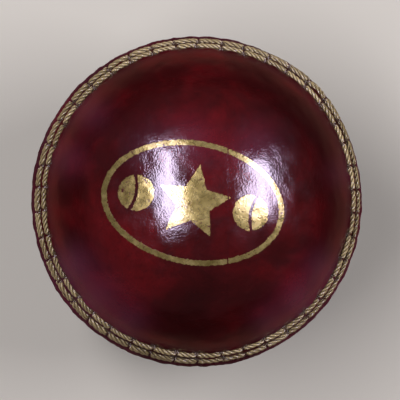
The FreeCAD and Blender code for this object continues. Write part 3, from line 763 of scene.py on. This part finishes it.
def foil_outline():
    """Flat points and faces of the emblem, cut from a grid along its edge."""
    xs, ys = np.arange(-20.6, 20.7, FOIL_GRID), np.arange(-14.0, 14.1, FOIL_GRID)
    grid_x, grid_y = np.meshgrid(xs, ys, indexing="ij")
    flat = np.stack([grid_x.ravel(), grid_y.ravel(), np.zeros(grid_x.size)], axis=1)
    distance = emblem(grid_x, grid_y)
    for amount, field in RAGGED:
        distance = distance + amount * field(flat).reshape(grid_x.shape)
    # the foil breaks at the joint between the quarters
    distance = np.maximum(distance, 0.13 - np.abs(on_cup(grid_x, grid_y)[0] - UPPER_JOINT))
    points, index, faces = [], {}, []

    def vertex(key, point):
        if key not in index:
            index[key] = len(points)
            points.append(point)
        return index[key]

    inside = distance < 0
    busy = inside[:-1, :-1] | inside[1:, :-1] | inside[:-1, 1:] | inside[1:, 1:]
    for i, j in zip(*np.nonzero(busy)):
        cell = [(i, j), (i + 1, j), (i + 1, j + 1), (i, j + 1)]
        face = []
        for a, b in zip(cell, cell[1:] + cell[:1]):
            at_a, at_b = distance[a], distance[b]
            if at_a < 0:
                face.append(vertex(a, (xs[a[0]], ys[a[1]])))
            if (at_a < 0) != (at_b < 0):
                share = min(0.92, max(0.08, at_a / (at_a - at_b)))
                x = xs[a[0]] * (1 - share) + xs[b[0]] * share
                y = ys[a[1]] * (1 - share) + ys[b[1]] * share
                face.append(vertex((min(a, b), max(a, b)), (x, y)))
        faces.append(tuple(face))
    return np.array(points), faces


def foil_mesh():
    flat, top_faces = foil_outline()
    x, y = on_cup(flat[:, 0], flat[:, 1])
    base = np.stack([x, y, np.sqrt(LEATHER_RADIUS**2 - x * x - y * y)], axis=1)
    normal = base / LEATHER_RADIUS
    shift, _ = leather(base, 1)
    top = base + normal * (shift + FOIL_HALF)[:, None]
    bottom = base + normal * (shift - FOIL_HALF)[:, None]
    count = len(flat)
    faces = top_faces + [tuple(count + v for v in reversed(face)) for face in top_faces]
    edges = [edge for face in top_faces for edge in zip(face, face[1:] + face[:1])]
    known = set(edges)
    faces += [(b, a, count + a, count + b) for a, b in edges if (b, a) not in known]
    mesh = raw_mesh("foil", np.vstack([top, bottom]) * MILLIMETRE, faces)
    face_outward(mesh)
    return mesh


foil = add_piece("foil_stamp", foil_mesh(), "foil_emblem", sharp=50)


# -------------------------------------------------------------- materials
class Shader:
    """Short hand for a material's node tree. Textures are scaled in features per mm."""

    def __init__(self, name):
        self.material = bpy.data.materials.new(name)
        self.material.use_nodes = True
        self.tree = self.material.node_tree
        self.tree.nodes.clear()
        self.output = self.tree.nodes.new("ShaderNodeOutputMaterial")
        self.coord = self.node("TexCoord").outputs["Object"]

    def put(self, socket, value):
        if isinstance(value, bpy.types.NodeSocket):
            self.tree.links.new(value, socket)
        elif value is not None:
            socket.default_value = value

    def node(self, kind, settings=None, **inputs):
        made = self.tree.nodes.new("ShaderNode" + kind)
        for key, value in (settings or {}).items():
            setattr(made, key, value)
        for key, value in inputs.items():
            self.put(made.inputs[key.replace("_", " ")], value)
        return made

    def attr(self, name):
        return self.node("Attribute", {"attribute_name": name}).outputs["Fac"]

    def noise(self, per_mm, detail=2.0, rough=0.5, distort=0.0, coord=None):
        return self.node(
            "TexNoise", Vector=coord or self.coord, Scale=per_mm * 1000,
            Detail=detail, Roughness=rough, Distortion=distort,
        ).outputs["Fac"]

    def cells(self, per_mm, feature="F1", output="Distance", smooth=None):
        made = self.node(
            "TexVoronoi", {"feature": feature}, Vector=self.coord, Scale=per_mm * 1000
        )
        if smooth is not None:
            made.inputs["Smoothness"].default_value = smooth
        return made.outputs[output]

    def ramp(self, factor, *stops):
        """stops are (position, grey level or colour)."""
        made = self.node("ValToRGB", Fac=factor)
        elements = made.color_ramp.elements
        while len(elements) < len(stops):
            elements.new(0.5)
        for element, (position, colour) in zip(elements, stops):
            element.position = position
            grey = isinstance(colour, (int, float))
            element.color = (colour, colour, colour, 1) if grey else (*colour, 1)
        return made.outputs["Color"]

    def math(self, operation, *values, clamp=False):
        made = self.node("Math", {"operation": operation, "use_clamp": clamp})
        for socket, value in zip(made.inputs, values):
            self.put(socket, value)
        return made.outputs[0]

    def plus(self, a, b, clamp=False):
        return self.math("ADD", a, b, clamp=clamp)

    def times(self, a, b, clamp=False):
        return self.math("MULTIPLY", a, b, clamp=clamp)

    def one_minus(self, value):
        return self.math("SUBTRACT", 1.0, value)

    def mix(self, factor, a, b):
        made = self.node("Mix", {"data_type": "RGBA"})
        self.put(made.inputs[0], factor)
        for socket, value in ((made.inputs[6], a), (made.inputs[7], b)):
            self.put(socket, (*value, 1) if isinstance(value, tuple) else value)
        return made.outputs[2]

    def fade(self, value, zero_at, one_at):
        return self.node(
            "MapRange", {"interpolation_type": "SMOOTHSTEP"},
            Value=value, From_Min=zero_at, From_Max=one_at,
        ).outputs[0]

    def bump(self, height, mm, strength=1.0, under=None):
        """A normal for relief of the given depth in mm, on top of another normal."""
        return self.node(
            "Bump", Height=height, Distance=mm * MILLIMETRE, Strength=strength, Normal=under
        ).outputs["Normal"]

    def finish(self, shader):
        self.tree.links.new(shader.outputs[0], self.output.inputs["Surface"])
        return self.material

    def finish_principled(self, **inputs):
        return self.finish(self.node("BsdfPrincipled", **inputs))


def grain(mat):
    """The fine pebble of the hide, shared by the leather and the foil pressed on it."""
    warp = mat.noise(per_mm=0.9)
    pebble = mat.cells(per_mm=2.3, feature="SMOOTH_F1", smooth=0.25)
    speck = mat.cells(per_mm=4.6)
    fine = mat.noise(per_mm=4.4, detail=3.0, rough=0.6)
    broad = mat.noise(per_mm=0.55)
    normal = mat.bump(broad, mm=0.030, strength=0.8)
    normal = mat.bump(warp, mm=0.009, strength=0.6, under=normal)
    normal = mat.bump(pebble, mm=0.026, strength=0.75, under=normal)
    normal = mat.bump(speck, mm=0.012, strength=0.75, under=normal)
    return mat.bump(fine, mm=0.010, strength=0.6, under=normal)


def leather_material():
    mat = Shader("crimson_leather")
    grime, skin = mat.attr("grime"), mat.attr("skin")
    blotch = mat.noise(per_mm=0.085, detail=4.0, rough=0.55, distort=0.4)
    mottle = mat.noise(per_mm=0.55, detail=3.0, rough=0.6)
    pores = mat.cells(per_mm=2.1, feature="SMOOTH_F1", smooth=0.35)
    speck = mat.noise(per_mm=1.7)
    # dye, from dark to bright, moved by the patches of tone and painted light
    base = mat.ramp(
        mat.plus(blotch, mat.times(mat.attr("patina"), 0.19)),
        (0.26, (0.016, 0.0020, 0.0014)),
        (0.50, (0.034, 0.0027, 0.0023)),
        (0.74, (0.088, 0.0038, 0.0040)),
    )
    base = mat.mix(mat.times(mottle, 0.42), base, (0.026, 0.0010, 0.0020))
    in_pores = mat.ramp(pores, (0.0, 0.0), (0.55, 0.0), (0.95, 0.35))
    base = mat.mix(in_pores, base, (0.016, 0.0006, 0.0014))
    base = mat.mix(mat.ramp(speck, (0.66, 0.0), (0.78, 0.35)), base, (0.11, 0.006, 0.007))
    # painted violet reflection on the lacquer
    bloom = mat.times(mat.attr("bloom"), 0.55, clamp=True)
    base = mat.mix(bloom, base, (0.120, 0.030, 0.050))
    # darker at the joints, along the rows and in the stitch pits: dirt and painted shade
    base = mat.mix(mat.times(grime, 0.85), base, (0.012, 0.0014, 0.0016))
    fibres = mat.noise(per_mm=0.8, detail=4.0, rough=0.6)
    flesh = mat.mix(fibres, (0.45, 0.27, 0.14), (0.30, 0.16, 0.08))
    colour = mat.mix(skin, flesh, base)
    # handling has dulled the polish on the stitched band; heights in metres
    z = mat.node("SeparateXYZ", Vector=mat.coord).outputs[2]
    band = mat.fade(mat.math("ABSOLUTE", z), zero_at=0.0155, one_at=0.0110)
    shine = mat.ramp(mat.noise(per_mm=0.25, detail=3.0), (0.35, 0.09), (0.70, 0.19))
    rough = mat.plus(mat.plus(shine, mat.times(grime, 0.30)), mat.times(band, 0.14))
    gloss = mat.one_minus(mat.times(grime, 0.55))
    gloss = mat.times(gloss, mat.one_minus(mat.times(band, 0.58)))
    normal = grain(mat)
    return mat.finish_principled(
        Base_Color=colour,
        Roughness=mat.plus(mat.times(rough, 1.3), 0.22, clamp=True),
        IOR=1.40,
        Specular_IOR_Level=0.04,
        Normal=normal,
        Coat_Weight=mat.times(skin, gloss),
        Coat_Roughness=rough,
        Coat_IOR=1.80,
        Coat_Normal=normal,
    )


def foil_material():
    mat = Shader("gold_foil")
    wear = mat.noise(per_mm=1.35, detail=5.0, rough=0.68)
    patch = mat.noise(per_mm=0.22, detail=3.0, rough=0.55)
    lost = mat.plus(mat.times(wear, 0.75), mat.times(patch, 0.30))
    holes = mat.ramp(lost, (0.60, 0.0), (0.655, 1.0))
    gold = mat.ramp(
        mat.noise(per_mm=0.4, detail=3.0),
        (0.3, (0.23, 0.185, 0.043)),
        (0.55, (0.39, 0.328, 0.096)),
        (0.8, (0.57, 0.495, 0.172)),
    )
    dulling = mat.noise(per_mm=0.9, detail=3.0, rough=0.6)
    normal = grain(mat)
    return mat.finish_principled(
        Base_Color=mat.mix(holes, gold, (0.040, 0.0016, 0.003)),
        Metallic=mat.times(mat.one_minus(holes), 0.72),
        Roughness=mat.ramp(dulling, (0.3, 0.20), (0.7, 0.36)),
        Normal=normal,
        Coat_Weight=0.9,
        Coat_IOR=1.6,
        Coat_Roughness=0.12,
        Coat_Normal=normal,
    )


def seam_material():
    mat = Shader("seam_cord")
    crevice, tint, sunk = mat.attr("crevice"), mat.attr("tint"), mat.attr("sunk")
    fibre = mat.noise(per_mm=3.2, detail=4.0, rough=0.6)
    patch = mat.noise(per_mm=0.35)
    base = mat.ramp(
        mat.plus(mat.times(tint, 0.5), mat.times(fibre, 0.5)),
        (0.25, (0.232, 0.193, 0.062)),
        (0.75, (0.37, 0.318, 0.122)),
    )
    base = mat.mix(mat.ramp(patch, (0.45, 0.0), (0.8, 0.45)), base, (0.115, 0.090, 0.028))
    # painted shade between the plies
    base = mat.mix(mat.ramp(crevice, (0.30, 0.0), (0.72, 0.88)), base, (0.060, 0.040, 0.014))
    # painted shade on the thread inside and at the mouth of its hole
    base = mat.mix(mat.ramp(sunk, (0.70, 0.0), (1.0, 0.75)), base, (0.050, 0.024, 0.012))
    normal = mat.bump(fibre, mm=0.045, strength=0.8)
    return mat.finish_principled(
        Base_Color=base,
        Roughness=mat.ramp(fibre, (0.3, 0.42), (0.7, 0.62)),
        Normal=normal,
        Sheen_Weight=0.06,
        Sheen_Roughness=0.5,
        Specular_IOR_Level=0.3,
        Coat_Weight=1.0,
        Coat_IOR=1.6,
        Coat_Roughness=0.11,
        Coat_Normal=normal,
    )


def cork_material(name, dark, middle, light, per_mm):
    mat = Shader(name)
    grains = mat.cells(per_mm, output="Color")
    tone = mat.node("SeparateColor", Color=grains).outputs[0]
    edge = mat.cells(per_mm, feature="DISTANCE_TO_EDGE")
    base = mat.ramp(tone, (0.0, dark), (0.5, middle), (1.0, light))
    base = mat.mix(mat.ramp(edge, (0.0, 0.8), (0.09, 0.0)), base, (0.09, 0.045, 0.02))
    flecks = mat.noise(per_mm * 2.5, detail=4.0, rough=0.7)
    base = mat.mix(mat.ramp(flecks, (0.6, 0.0), (0.8, 0.5)), base, (0.12, 0.06, 0.03))
    normal = mat.bump(edge, mm=0.12, strength=0.6)
    fine = mat.noise(per_mm * 4, detail=3.0, rough=0.6)
    normal = mat.bump(fine, mm=0.04, strength=0.6, under=normal)
    return mat.finish_principled(Base_Color=base, Roughness=0.88, Normal=normal)


def yarn_material():
    mat = Shader("wound_yarn")
    height = None
    # three windings, each laid over the last in patches
    for rotation in ((1.0, 0.35, 0.2), (-0.3, 1.0, 0.5), (0.5, -0.4, 1.0)):
        turned = mat.node("Mapping", Vector=mat.coord, Rotation=rotation).outputs[0]
        wave = mat.node(
            "TexWave", Vector=turned, Scale=330.0, Distortion=1.2, Detail=2.0, Detail_Scale=1.2
        ).outputs["Fac"]
        if height is None:
            height = wave
        else:
            over = mat.noise(per_mm=0.07, detail=1.0, rough=0.4, coord=turned)
            height = mat.mix(mat.ramp(over, (0.47, 0.0), (0.53, 1.0)), height, wave)
    base = mat.ramp(
        height, (0.1, (0.30, 0.24, 0.17)), (0.6, (0.60, 0.53, 0.42)), (1.0, (0.72, 0.66, 0.55))
    )
    stain = mat.noise(per_mm=2.5, detail=3.0, rough=0.6)
    base = mat.mix(mat.times(stain, 0.4), base, (0.42, 0.34, 0.24))
    normal = mat.bump(height, mm=0.18, strength=0.8)
    fine = mat.noise(per_mm=4.0, detail=3.0, rough=0.6)
    normal = mat.bump(fine, mm=0.04, strength=0.6, under=normal)
    return mat.finish_principled(
        Base_Color=base, Roughness=0.9, Normal=normal, Sheen_Weight=0.4
    )


def lining_material():
    mat = Shader("raw_leather")
    tone = mat.noise(per_mm=0.12, detail=4.0, rough=0.6)
    base = mat.mix(tone, (0.50, 0.31, 0.16), (0.36, 0.20, 0.10))
    flecks = mat.noise(per_mm=1.6, detail=5.0, rough=0.7)
    base = mat.mix(mat.ramp(flecks, (0.5, 0.0), (0.8, 0.6)), base, (0.22, 0.12, 0.06))
    nap = mat.noise(per_mm=2.2, detail=6.0, rough=0.7)
    return mat.finish_principled(
        Base_Color=base,
        Roughness=0.82,
        Normal=mat.bump(nap, mm=0.10, strength=0.8),
        Sheen_Weight=0.3,
    )


def plain_thread_material():
    mat = Shader("waxed_linen")
    turned = mat.node("Mapping", Vector=mat.coord, Rotation=(0.6, 0.3, 0.8)).outputs[0]
    ply = mat.node(
        "TexWave", Vector=turned, Scale=900.0, Distortion=2.0, Detail=2.0
    ).outputs["Fac"]
    base = mat.ramp(
        ply, (0.0, (0.34, 0.27, 0.16)), (0.6, (0.66, 0.58, 0.40)), (1.0, (0.76, 0.69, 0.52))
    )
    normal = mat.bump(ply, mm=0.05, strength=0.7)
    return mat.finish_principled(Base_Color=base, Roughness=0.55, Normal=normal)


crimson = leather_material()
gold = foil_material()
seam = seam_material()
for pieces, material in ((quarters, crimson), (cords, seam), ([foil], gold)):
    for ob in pieces:
        ob.data.materials.append(material)

# Materials of the CAD nodes, by the start of their names; the first match counts.
FINISH = {
    "core_nucleus": cork_material(
        "bound_cork", (0.20, 0.11, 0.06), (0.34, 0.20, 0.11), (0.50, 0.32, 0.18), per_mm=0.55
    ),
    "cork_layer": cork_material(
        "sheet_cork", (0.42, 0.26, 0.13), (0.58, 0.38, 0.21), (0.68, 0.48, 0.28), per_mm=0.8
    ),
    "yarn_winding": yarn_material(),
    "lining": lining_material(),
    "quarter_stitching": plain_thread_material(),
    "quarter": crimson,
    "foil": gold,
    "thread": seam,  # found anywhere in the name
}


def finish_for(node):
    for key, material in FINISH.items():
        if node.startswith(key) or (key == "thread" and key in node):
            return material
    raise SystemExit("no material for " + node)


for node, ob in frame["nodes"].items():
    material = finish_for(node)
    for slot in ob.material_slots:
        slot.link = "OBJECT"
        slot.material = material


# ------------------------------------------------------------------- floor
def floor_material():
    mat = Shader("pale_floor")
    tone = mat.noise(per_mm=0.004, detail=3.0)
    colour = mat.mix(tone, (0.400, 0.425, 0.295), (0.425, 0.450, 0.318))
    # the lacquer mirrors only a dim floor, as on a dark table
    mirrored = mat.node("LightPath").outputs["Is Glossy Ray"]
    away = mat.node("VectorMath", {"operation": "LENGTH"}, Vector=mat.coord).outputs["Value"]
    close = mat.fade(away, zero_at=0.175, one_at=0.095)
    reflected = mat.mix(close, (0.006, 0.003, 0.003), (0.085, 0.040, 0.022))
    lit = mat.node(
        "BsdfPrincipled",
        Base_Color=mat.mix(mirrored, colour, reflected),
        Roughness=0.85,
        Specular_IOR_Level=0.0,
        Normal=mat.bump(mat.noise(per_mm=0.5, detail=3.0), mm=0.02, strength=0.3),
    )
    # far from the ball the lamps no longer reach, so the floor keeps its tone by itself
    seen = mat.node("LightPath").outputs["Is Camera Ray"]
    far = mat.fade(away, zero_at=0.075, one_at=0.42)
    glow = mat.node("Emission", Color=(0.600, 0.560, 0.510, 1), Strength=mat.times(far, seen))
    both = mat.node("MixShader", Fac=far)
    mat.put(both.inputs[1], lit.outputs[0])
    mat.put(both.inputs[2], glow.outputs[0])
    return mat.finish(both)


FLOOR_GAP = 0.00002
bpy.ops.mesh.primitive_grid_add(
    x_subdivisions=24, y_subdivisions=24, size=16, location=(0, 0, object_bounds()[0][2] - FLOOR_GAP)
)
floor = bpy.context.object
floor.name = "floor"
floor.data.materials.append(floor_material())


# ------------------------------------------------------------------ lights
def facing(direction, distance):
    """Placing matrix of a light or camera that looks at the ball from a unit direction."""
    x = Vector((0, 1, 0)).cross(direction).normalized()
    y = direction.cross(x)
    turn = Matrix((x, y, direction)).transposed().to_4x4()
    return Matrix.Translation(direction * distance) @ turn


def area(name, side, distance, wide, tall, radiance, colour):
    """A soft box that faces the ball."""
    direction, roll = side
    light = bpy.data.lights.new(name, "AREA")
    light.shape, light.size, light.size_y = "RECTANGLE", wide, tall
    light.energy = radiance * math.pi * wide * tall
    light.color = colour
    ob = bpy.data.objects.new(name, light)
    place = facing(Vector(direction).normalized(), distance)
    ob.matrix_world = place @ Matrix.Rotation(roll, 4, "Z")
    ob.visible_camera = False
    bpy.context.scene.collection.objects.link(ob)


# direction from the ball, and roll
LEFT = ((-0.400, 0.180, 0.898), math.radians(9))
RIGHT = ((0.700, 0.165, 0.695), math.radians(-6))
WINDOW_COLOUR, HALO_COLOUR = (0.86, 0.76, 1.0), (0.55, 0.38, 1.0)
# name, side, distance, width, height, radiance, colour; a dim halo rims each window
for light in (
    ("window_left", LEFT, 1.0, 0.28, 1.05, 15.0, WINDOW_COLOUR),
    ("window_right", RIGHT, 1.0, 0.36, 0.60, 15.0, WINDOW_COLOUR),
    ("halo_left", LEFT, 1.04, 0.42, 1.20, 0.7, HALO_COLOUR),
    ("halo_right", RIGHT, 1.04, 0.50, 0.74, 0.9, HALO_COLOUR),
):
    area(*light)

# The world lights the ball dimly but shows the camera a pale backdrop.
world = bpy.data.worlds.new("studio")
world.use_nodes = True
bpy.context.scene.world = world
nodes, links = world.node_tree.nodes, world.node_tree.links
nodes.clear()
output = nodes.new("ShaderNodeOutputWorld")
dim, backdrop = (nodes.new("ShaderNodeBackground") for _ in range(2))
for background, colour, strength in (
    (dim, (0.95, 0.82, 0.86, 1), 0.025),
    (backdrop, (0.640, 0.600, 0.550, 1), 1.0),
):
    background.inputs[0].default_value = colour
    background.inputs[1].default_value = strength
ray, mixer = nodes.new("ShaderNodeLightPath"), nodes.new("ShaderNodeMixShader")
links.new(ray.outputs["Is Camera Ray"], mixer.inputs[0])
links.new(dim.outputs[0], mixer.inputs[1])
links.new(backdrop.outputs[0], mixer.inputs[2])
links.new(mixer.outputs[0], output.inputs[0])

# ------------------------------------------------------------------ camera
# It looks down from +Z, leaning by TILT towards -X and -Y.
TILT, LEAN = math.radians(2.35), math.radians(60.0)  # LEAN turns from -Y towards -X
CAMERA_DISTANCE = 2.0
VIEW_WIDTH = 0.088184019  # seen at the ball's centre
SENSOR_WIDTH = 36.0

camera = bpy.data.objects.new("camera", bpy.data.cameras.new("camera"))
bpy.context.scene.collection.objects.link(camera)
bpy.context.scene.camera = camera
lean_x, lean_y = -math.sin(TILT) * math.sin(LEAN), -math.sin(TILT) * math.cos(LEAN)
camera.matrix_world = facing(Vector((lean_x, lean_y, math.cos(TILT))), CAMERA_DISTANCE)
camera.data.sensor_width = SENSOR_WIDTH
camera.data.lens = SENSOR_WIDTH * CAMERA_DISTANCE / VIEW_WIDTH
camera.data.shift_x, camera.data.shift_y = 0.00825, 0.00375
camera.data.clip_start, camera.data.clip_end = 0.05, 60.0

bpy.context.scene.view_settings.view_transform = "Standard"
bpy.context.scene.view_settings.look = "None"
